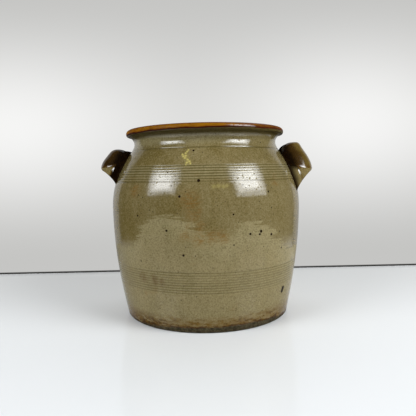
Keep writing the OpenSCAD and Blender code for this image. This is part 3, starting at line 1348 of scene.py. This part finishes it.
@dataclass
class PotBody:
    """The thrown pot: floor, wall, combed bands, neck and rolled lip, in millimetres."""

    outline: PotOutline
    name: str = "thrown_pot"
    node: str = "pot_body"
    slot: str = "pot_glaze"
    steps: int = 256
    out_of_round: Waver = Waver(0.5, 0.9, 140.0, (3.1, 0.4))
    rings: Waver = Waver(0.05, 0.5, 4.5, (7.0, 2.0))
    line_sway: Waver = Waver(0.35, 1.3, 60.0, (0.0, 5.0))
    comb_press: Waver = Waver(0.7, 1.4, 9.0)
    press: float = 0.85
    press_least: float = 0.25
    press_most: float = 1.25
    band_reach: float = 1.5
    crest_fall: float = 2.2
    lumps: float = 0.07
    lump_size: float = 15.0
    inner_rings: float = 0.45
    inner_ring_pitch: float = 9.0
    inner_ring_fade: Point2 = (225.0, 205.0)
    still_r: float = 1.0
    still_z: float = 0.01
    free_rise: Point2 = (0.0, 12.0)
    free_reach: Point2 = (20.0, 80.0)

    def build(self) -> bpy.types.Object:
        """Turn the outline round the axis and give the wall its combed lines and its handmade swell.

        Returns:
            The pot.
        """
        bm = bmesh.new()
        layers = {name: bm.verts.layers.float.new(name) for name in ("pool", "crest", "inside")}
        runs = ((Skin.OUTSIDE, self.outline.outside()), (Skin.INSIDE, self.outline.inside()))
        points = [(skin, r, z) for skin, run in runs for r, z in run]
        verts = draw_line(bm, [(r * MM, 0.0, z * MM) for _, r, z in points])
        for vert, (skin, _, z) in zip(verts, points):
            vert[layers["inside"]] = skin.value
            if skin is Skin.OUTSIDE and z > self.outline.base_edge:
                vert[layers["pool"]] = self.outline.pool(z)
        turn_round(bm, 2 * math.pi, self.steps, closed=True)
        bmesh.ops.remove_doubles(bm, verts=bm.verts[:], dist=WELD)
        bmesh.ops.recalc_face_normals(bm, faces=bm.faces[:])
        for vert in bm.verts:
            self.shape(vert, layers)
        return put_in_scene(bm, self.name)

    def shape(self, vert: bmesh.types.BMVert, layers: dict[str, bmesh.types.BMLayerItem]) -> None:
        """Move one point of the turned wall to its handmade place.

        Args:
            vert: The point.
            layers: The numbers that the points hold.
        """
        x, y, z = vert.co / MM
        r = math.hypot(x, y)
        if r < self.still_r or z < self.still_z:
            return
        turn = math.atan2(y, x)
        around = Vector((math.cos(turn), math.sin(turn), 0.0))
        within = vert[layers["inside"]] > 0.5
        free = smooth_step(*self.free_rise, z) * smooth_step(*self.free_reach, r)
        out = self.out_of_round.at(around, z) + self.rings.at(around, z)
        out += self.lumps * noise.noise(Vector((x, y, z)) / self.lump_size)
        if within:
            wave = math.sin(2 * math.pi * z / self.inner_ring_pitch + turn)
            out += self.inner_rings * wave * smooth_step(*self.inner_ring_fade, z)
        if vert[layers["pool"]] > 0.0:
            out -= self.combed(vert, layers, around, z)
        sway = 0.0 if within or z > self.outline.neck_z else self.line_sway.at(around, z)
        r += out * free
        vert.co = Vector((r * math.cos(turn), r * math.sin(turn), z + sway * free)) * MM

    def combed(self, vert: bmesh.types.BMVert, layers: dict[str, bmesh.types.BMLayerItem],
               around: Vector, z: float) -> float:
        """Comb one point, and note how much glaze pools there or thins.

        Args:
            vert: The point, which holds how deep in a line it lies.
            layers: The numbers that the points hold.
            around: Direction of the point from the axis.
            z: Its height in millimetres.

        Returns:
            How far the comb presses it in, in millimetres.
        """
        pool, band = vert[layers["pool"]], self.outline.nearest_band(z)
        press = self.press + self.comb_press.at(around, z)
        press = min(self.press_most, max(self.press_least, press))
        in_band = band.foot - self.band_reach < z < band.head + self.band_reach and band.lines > 1
        crest = max(0.0, 1.0 - self.crest_fall * pool) * press if in_band else 0.0
        vert[layers["pool"]] = min(1.0, pool * press) * band.shade
        vert[layers["crest"]] = crest * band.shade
        return band.depth * pool * press

    def dress(self, piece: bpy.types.Object) -> None:
        """Glaze the pot and tie it to the frame.

        Args:
            piece: The pot.
        """
        piece.data.materials.append(PotGlaze(self.outline).material())
        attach(piece, "root")
        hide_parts(self.node)


@dataclass
class EarHandle:
    """A pulled strap that is bowed out from the shoulder, with a pressed lower face and flared legs.

    Lengths are in millimetres and angles in degrees. Drops are counted down from the top of the lip.
    """

    outline: PotOutline
    name: str
    node: str
    turned: float
    root_drop: float
    top_drop: float
    beak_drop: float
    tail_drop: float
    top_draw: float
    outer_lightening: float
    leg_glint_share: float
    slot: str = "handle_glaze"
    length: float = 82.0
    splay: float = 6.0
    reach_out: float = 34.0
    thickness: float = 10.0
    bow: float = 0.65
    lean: float = 19.0
    flare: float = 9.0
    flare_fall: float = 30.0
    edge: float = 4.2
    tuck_in: float = 5.0
    tuck_fall: float = 3.0
    lower_edge: float = 3.0
    tail_w: float = 4.5
    facet: float = 2.0
    facet_out: float = 1.1
    ridge_rise: float = 5.0
    press_span: Point2 = (0.3, 0.44)
    blunt: float = 4.0
    upper_climb: float = 2.6
    lower_climb: float = 0.55
    crown_share: float = 0.6
    seat_depth: float = 1.2
    seat_fall: float = 8.0
    glint_rise: Point2 = (1.0, 0.7)
    glint_span: Point2 = (0.06, 0.26)
    stations: int = 40
    facet_levels: int = 7
    face_levels: int = 10
    finger_marks: float = 0.55
    finger_size: float = 14.0
    smoothing: int = 2
    root_z: float = field(init=False)
    top_z: float = field(init=False)
    beak_z: float = field(init=False)
    tail_z: float = field(init=False)
    mid_z: float = field(init=False)
    half_t: float = field(init=False)
    reach: float = field(init=False)
    levels: int = field(init=False)

    def __post_init__(self) -> None:
        """Work out the heights of the strap's four corners, its reach and its levels."""
        height = self.outline.height
        self.root_z, self.top_z = height - self.root_drop, height - self.top_drop
        self.beak_z, self.tail_z = height - self.beak_drop, height - self.tail_drop
        self.mid_z = (self.root_z + self.tail_z) / 2
        self.half_t = self.thickness / 2
        self.reach = self.reach_out - self.half_t
        self.levels = self.facet_levels + self.face_levels

    def rise(self, a: float) -> float:
        """Say how far out along the bow a station lies: 0 at the roots and 1 at the middle."""
        return math.sin(a) ** self.bow if 0.0 < a < math.pi else 0.0

    def pressed(self, rise: float) -> float:
        """Say how far the lower face is pressed in: 0 on the legs and 1 on the bow."""
        return smooth_step(*self.press_span, rise)

    def heights(self, a: float) -> tuple[float, float, float]:
        """Find the strap's lower edge, ridge and upper edge.

        Args:
            a: Angle of the station along the bow, from 0 to pi.

        Returns:
            The three heights, from below.
        """
        rise = self.rise(a)
        upper = self.root_z + (self.top_z - self.root_z) * (1 - (1 - rise) ** self.upper_climb)
        lower = self.tail_z + (self.beak_z - self.facet - self.tail_z) * rise ** self.lower_climb
        return lower, self.beak_z + self.ridge_rise * (1 - rise), upper

    def level_z(self, a: float, level: int) -> float:
        """Find the height of a level of the strap's face.

        Args:
            a: Angle of the station along the bow.
            level: Count of the level from below.

        Returns:
            The height.
        """
        lower, ridge, upper = self.heights(a)
        if level < self.facet_levels:
            return lower + (ridge - lower) * level / self.facet_levels
        climb = math.pi / 2 * (level - self.facet_levels) / self.face_levels
        return ridge + (upper - ridge) * math.sin(climb)

    def faces_n(self, a: float, level: int) -> Point2:
        """Find how far the strap's inner and outer faces lie from its middle surface.

        Args:
            a: Angle of the station along the bow.
            level: Count of the level from below.

        Returns:
            The offsets of the inner and the outer face.
        """
        lower, ridge, upper = self.heights(a)
        rise, z = self.rise(a), self.level_z(a, level)

        def cut(at: float) -> float:
            """Give the thickness that the rounding of the upper edge takes on each side."""
            w = max(0.0, 1 - (upper - at) / self.edge)
            return self.edge * (1 - math.sqrt(max(0.0, 1 - w * w)))

        def face(at: float) -> float:
            """Give the offset of the face above the ridge."""
            w = max(0.0, 1 - (at - ridge) / (upper - ridge) / self.crown_share)
            return self.half_t - self.tuck_in * rise ** self.tuck_fall * w * w - cut(at)

        inner = -self.half_t + cut(z)
        if level < self.facet_levels:
            low = -self.half_t + self.lower_edge + (self.tail_w - self.lower_edge) * (1 - rise) ** 2
            share = level / self.facet_levels
            plain, press = 1 - (1 - share) ** self.blunt, self.pressed(rise)
            outer = low + (face(ridge) - low) * (plain + (share - plain) * press)
        else:
            outer = face(z)
        share = (z - lower) / (upper - lower)
        return inner, outer + self.flare * math.sin(math.pi * share) * (1 - rise) ** self.flare_fall

    def wrap(self, a: float, n: float, z: float) -> Vector:
        """Place a point of the strap on the pot.

        Args:
            a: Angle of the station along the bow.
            n: Offset from the strap's middle surface.
            z: Height.

        Returns:
            The point in metres.
        """
        c = math.cos(a) if 0.0 < a < math.pi else (1.0 if a <= 0.0 else -1.0)
        s = math.sin(a) if 0.0 < a < math.pi else 0.0
        above = max(0.0, z - self.heights(a)[1])
        run = self.length / 2 - self.half_t + (self.mid_z - z) * math.tan(math.radians(self.splay))
        run -= above * math.tan(math.radians(self.lean))
        along = -run * math.copysign(abs(c) ** self.bow, c)
        pull = 2 - self.bow
        across = Vector((-math.copysign(abs(c) ** pull, c) / run, s ** pull / self.reach))
        across.normalize()
        seat = -self.seat_depth * (1 - self.rise(a)) ** self.seat_fall
        r = self.outline.wall_r(z) + seat + self.reach * self.rise(a) + n * across.y
        r -= self.top_draw * self.rise(a) * above / (self.top_z - self.beak_z)
        turn = (along + n * across.x) / self.outline.wall_r(self.mid_z) + math.radians(self.turned)
        return Vector((r * math.cos(turn), r * math.sin(turn), z)) * MM

    def section(self, a: float) -> list[tuple[Vector, float, float, float]]:
        """List the ring of points round the strap at one station.

        Args:
            a: Angle of the station along the bow.

        Returns:
            For each point its place, how far out it faces, how sharp its edge is and how strong the painted
            highlight on its leg is.
        """
        ring, rise = [], self.rise(a)
        press = self.pressed(rise)
        for level in range(self.levels + 1):
            sharp = press if level in (0, self.facet_levels, self.levels) else 0.0
            # How far out a point faces sets its painted shade by the wall and its painted light on the outer
            # faces.
            out = self.facet_out * press if level < self.facet_levels else self.outer_lightening * rise
            # Painted highlight along the lower part of the leg, on the right ear alone.
            low = smooth_step(*self.glint_rise, level / self.facet_levels)
            leg_glint = self.leg_glint_share * low * smooth_step(*self.glint_span, rise) * (1 - press)
            ring.append((self.wrap(a, self.faces_n(a, level)[1], self.level_z(a, level)), out, sharp, leg_glint))
        for level in range(self.levels, -1, -1):
            ring.append((self.wrap(a, self.faces_n(a, level)[0], self.level_z(a, level)), 0.0, 0.0, 0.0))
        return ring

    def build(self) -> bpy.types.Object:
        """Draw the strap's ring of points along its bow.

        Returns:
            The ear.
        """
        bm = bmesh.new()
        layers = [bm.verts.layers.float.new(name) for name in ("out", "edge", "leg_glint")]
        ring = bmesh.ops.create_circle(bm, segments=2 * (self.levels + 1), radius=self.half_t * MM)["verts"]
        for station in range(self.stations + 1):
            a = math.pi / 2 - math.pi / 2 * math.cos(math.pi * station / self.stations)
            if station:
                ring = self.draw_on(bm, ring)
            for vert, (place, *shares) in zip(ring, self.section(a)):
                vert.co = place
                for layer, share in zip(layers, shares):
                    vert[layer] = share
        bmesh.ops.holes_fill(bm, edges=[edge for edge in bm.edges if edge.is_boundary], sides=0)
        bmesh.ops.recalc_face_normals(bm, faces=bm.faces[:])
        for vert in bm.verts:
            mark = noise.noise(vert.co / MM / self.finger_size)
            vert.co += vert.normal * mark * self.finger_marks * MM
        piece = put_in_scene(bm, self.name)
        soften = piece.modifiers.new("soften", "SUBSURF")
        soften.levels = soften.render_levels = self.smoothing
        return piece

    def draw_on(self, bm: bmesh.types.BMesh, ring: list[bmesh.types.BMVert]) -> list[bmesh.types.BMVert]:
        """Extrude a ring of points by one station.

        Args:
            bm: The mesh.
            ring: The points of the last ring, in order.

        Returns:
            The new ring's points, in the same order.
        """
        edges = [bm.edges.get((ring[i - 1], vert)) for i, vert in enumerate(ring)]
        made = bmesh.ops.extrude_edge_only(bm, edges=edges)["geom"]
        fresh = {item for item in made if isinstance(item, bmesh.types.BMVert)} - set(ring)
        joined = [[edge.other_vert(vert) for edge in vert.link_edges] for vert in ring]
        return [next(vert for vert in verts if vert in fresh) for verts in joined]

    def dress(self, piece: bpy.types.Object, glaze: bpy.types.Material) -> None:
        """Glaze the ear and tie it to the frame.

        Args:
            piece: The ear.
            glaze: The material that both ears share.
        """
        piece.data.materials.append(glaze)
        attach(piece, "root")
        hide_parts(self.node)


@dataclass(frozen=True)
class Pane:
    """One of the nested lamps of a window: its scale, its share of the power and how far back it hangs."""

    name: str
    scale: float
    share: float
    setback: float = 0.0


@dataclass(frozen=True)
class Window:
    """A tall soft window that lights the pot from one side of the front."""

    name: str
    azimuth: float
    elevation: float
    size: Point2
    power: float
    lean: float
    distance: float = 1.7
    colour: tuple[float, float, float] = (0.95, 0.98, 1.0)
    panes: tuple[Pane, ...] = (
        Pane("heart", 0.5, 0.18), Pane("middle", 0.76, 0.3, 0.01), Pane("edge", 1.0, 0.52, 0.02))

    def hang(self, pane: Pane, aim: Vector) -> None:
        """Hang one of the nested lamps that make the window brighter toward its middle.

        Args:
            pane: Its share of the window's size and power.
            aim: The point that it faces.
        """
        name = self.name + "_" + pane.name
        data = bpy.data.lights.new(name, "AREA")
        data.shape = "RECTANGLE"
        data.size, data.size_y = (side * pane.scale for side in self.size)
        data.energy, data.color = self.power * pane.share, self.colour
        lamp = bpy.data.objects.new(name, data)
        turn, lift = math.radians(self.azimuth), math.radians(self.elevation)
        way = Vector((math.sin(turn) * math.cos(lift), -math.cos(turn) * math.cos(lift), math.sin(lift)))
        facing = way.to_track_quat("Z", "Y").to_matrix().to_4x4()
        lean = Matrix.Rotation(math.radians(self.lean), 4, "Z")
        lamp.matrix_world = Matrix.Translation(aim + way * (self.distance + pane.setback)) @ facing @ lean
        lamp.visible_camera = False
        bpy.context.scene.collection.objects.link(lamp)


@dataclass(frozen=True)
class Screen:
    """A dark cloth that hangs round the front, so that the glaze shows the windows and not the room."""

    name: str = "front_screen"
    start: float = -130.0
    end: float = 130.0
    radius: float = 2.4
    foot: float = -28.0
    head: float = 90.0
    rows: int = 12
    strips: int = 36

    def hang(self) -> bpy.types.Object:
        """Hang the screen.

        Returns:
            The screen.
        """
        bm = bmesh.new()
        rise = (self.head - self.foot) / self.rows
        side = arc((0.0, 0.0), (self.radius, self.radius), self.foot, rise, range(self.rows + 1))
        draw_line(bm, [(0.0, -r, z) for r, z in side])
        start = Matrix.Rotation(math.radians(self.start), 3, "Z")
        bmesh.ops.rotate(bm, verts=bm.verts[:], cent=MIDDLE, matrix=start)
        turn_round(bm, math.radians(self.end - self.start), self.strips, closed=False)
        piece = put_in_scene(bm, self.name)
        piece.data.materials.append(ClothFinish().material())
        piece.visible_camera = False
        return piece


@dataclass
class Studio:
    """Pale table and wall, soft windows, a dark screen and the camera."""

    focal: float = 38.077
    sensor: float = 36.0
    stand_off: float = 0.62237
    eye_height: float = 0.18988
    azimuth: float = 2.0
    pitch: float = 4.504
    roll: float = -1.098
    shift: Point2 = (0.0050, 0.0012)
    aim_height: float = 0.17
    room_low: Colour = tone("d4d4d2")
    room_high: Colour = tone("e6e6e5")
    room_rise: float = 0.5
    table_r: float = 0.9
    table_sides: int = 96
    wall_off: float = 0.2383
    wall_turn: float = 2.74
    wall_size: Point2 = (0.94, 0.62)
    screen: Screen = Screen()
    windows: tuple[Window, ...] = (
        Window("left_window", azimuth=-53.5, elevation=29.0, size=(1.13, 0.96), power=22.0, lean=9.0),
        Window("right_window", azimuth=58.5, elevation=29.5, size=(1.2, 1.2), power=33.0, lean=-5.0))

    def build(self) -> list[bpy.types.Object]:
        """Set the camera and the light, and put up the table, the wall and the screen.

        Returns:
            The three pieces.
        """
        self.set_camera()
        aim = Vector((0.0, 0.0, self.aim_height))
        for window in self.windows:
            for pane in window.panes:
                window.hang(pane, aim)
        self.set_room()
        return [self.lay_table(), self.raise_wall(), self.screen.hang()]

    def set_camera(self) -> None:
        """Stand the camera at the picture's place."""
        data = bpy.data.cameras.new("camera")
        data.sensor_fit, data.sensor_width, data.lens = "HORIZONTAL", self.sensor, self.focal
        data.shift_x, data.shift_y = self.shift
        camera = bpy.data.objects.new("camera", data)
        turn = math.radians(self.azimuth)
        place = Vector((self.stand_off * math.sin(turn), -self.stand_off * math.cos(turn), self.eye_height))
        look = (Matrix.Rotation(turn, 4, "Z") @ Matrix.Rotation(math.radians(90 - self.pitch), 4, "X")
                @ Matrix.Rotation(math.radians(self.roll), 4, "Z"))
        camera.matrix_world = Matrix.Translation(place) @ look
        bpy.context.scene.collection.objects.link(camera)
        bpy.context.scene.camera = camera

    def set_room(self) -> None:
        """Surround the table with a pale room that is brighter above."""
        world = bpy.data.worlds.new("pale_room")
        world.use_nodes = True
        nodes, join = world.node_tree.nodes, world.node_tree.links.new
        way, lift = nodes.new("ShaderNodeSeparateXYZ"), nodes.new("ShaderNodeMapRange")
        lift.inputs["From Max"].default_value = self.room_rise
        walls = nodes.new("ShaderNodeMix")
        walls.data_type = "RGBA"
        walls.inputs[6].default_value, walls.inputs[7].default_value = self.room_low, self.room_high
        join(nodes.new("ShaderNodeTexCoord").outputs["Generated"], way.inputs[0])
        join(way.outputs["Z"], lift.inputs["Value"])
        join(lift.outputs[0], walls.inputs[0])
        join(walls.outputs[2], nodes["Background"].inputs["Color"])
        bpy.context.scene.world = world

    def lay_table(self) -> bpy.types.Object:
        """Lay the pale table under the pot.

        Returns:
            The table.
        """
        bm = bmesh.new()
        bmesh.ops.create_circle(bm, cap_ends=True, segments=self.table_sides, radius=self.table_r)
        table = put_in_scene(bm, "table")
        table.data.materials.append(TableFinish().material())
        return table

    def raise_wall(self) -> bpy.types.Object:
        """Raise the pale wall behind the table, which lights nothing and throws no shadow.

        Returns:
            The wall.
        """
        width, height = self.wall_size
        bm = bmesh.new()
        bmesh.ops.create_grid(bm, x_segments=1, y_segments=1, size=0.5)
        bmesh.ops.scale(bm, vec=(width, height, 1.0), verts=bm.verts[:])
        place = (Matrix.Rotation(math.radians(self.wall_turn), 4, "Z")
                 @ Matrix.Translation((0.0, self.wall_off, height / 2))
                 @ Matrix.Rotation(math.pi / 2, 4, "X"))
        bmesh.ops.transform(bm, matrix=place, verts=bm.verts[:])
        wall = put_in_scene(bm, "wall")
        wall.data.materials.append(WallFinish().material())
        wall.visible_diffuse = wall.visible_shadow = False
        return wall


def report(piece: bpy.types.Object) -> None:
    """Log a piece's name and its number of points."""
    LOG.info("%s: %d points", piece.name, len(piece.data.vertices))


def main() -> None:
    """Build the studio and the pot's pieces in order and report each one."""
    logging.basicConfig(level=logging.INFO, format="%(name)s: %(message)s")
    bpy.context.scene.view_settings.view_transform = "Standard"
    for piece in Studio().build():
        report(piece)
    outline = PotOutline()
    pot = PotBody(outline)
    thrown = pot.build()
    pot.dress(thrown)
    report(thrown)
    glaze = EarGlaze().material()
    for ear in (
            EarHandle(outline, "right_ear", "right_handle", turned=0.0, root_drop=36.5, top_drop=18.9,
                      beak_drop=55.5, tail_drop=90.0, top_draw=0.0, outer_lightening=1.0, leg_glint_share=1.0),
            EarHandle(outline, "left_ear", "left_handle", turned=180.0, root_drop=32.5, top_drop=24.4,
                      beak_drop=50.0, tail_drop=75.0, top_draw=3.5, outer_lightening=0.66, leg_glint_share=0.0)):
        pulled = ear.build()
        ear.dress(pulled, glaze)
        report(pulled)


if __name__ == "__main__":
    main()
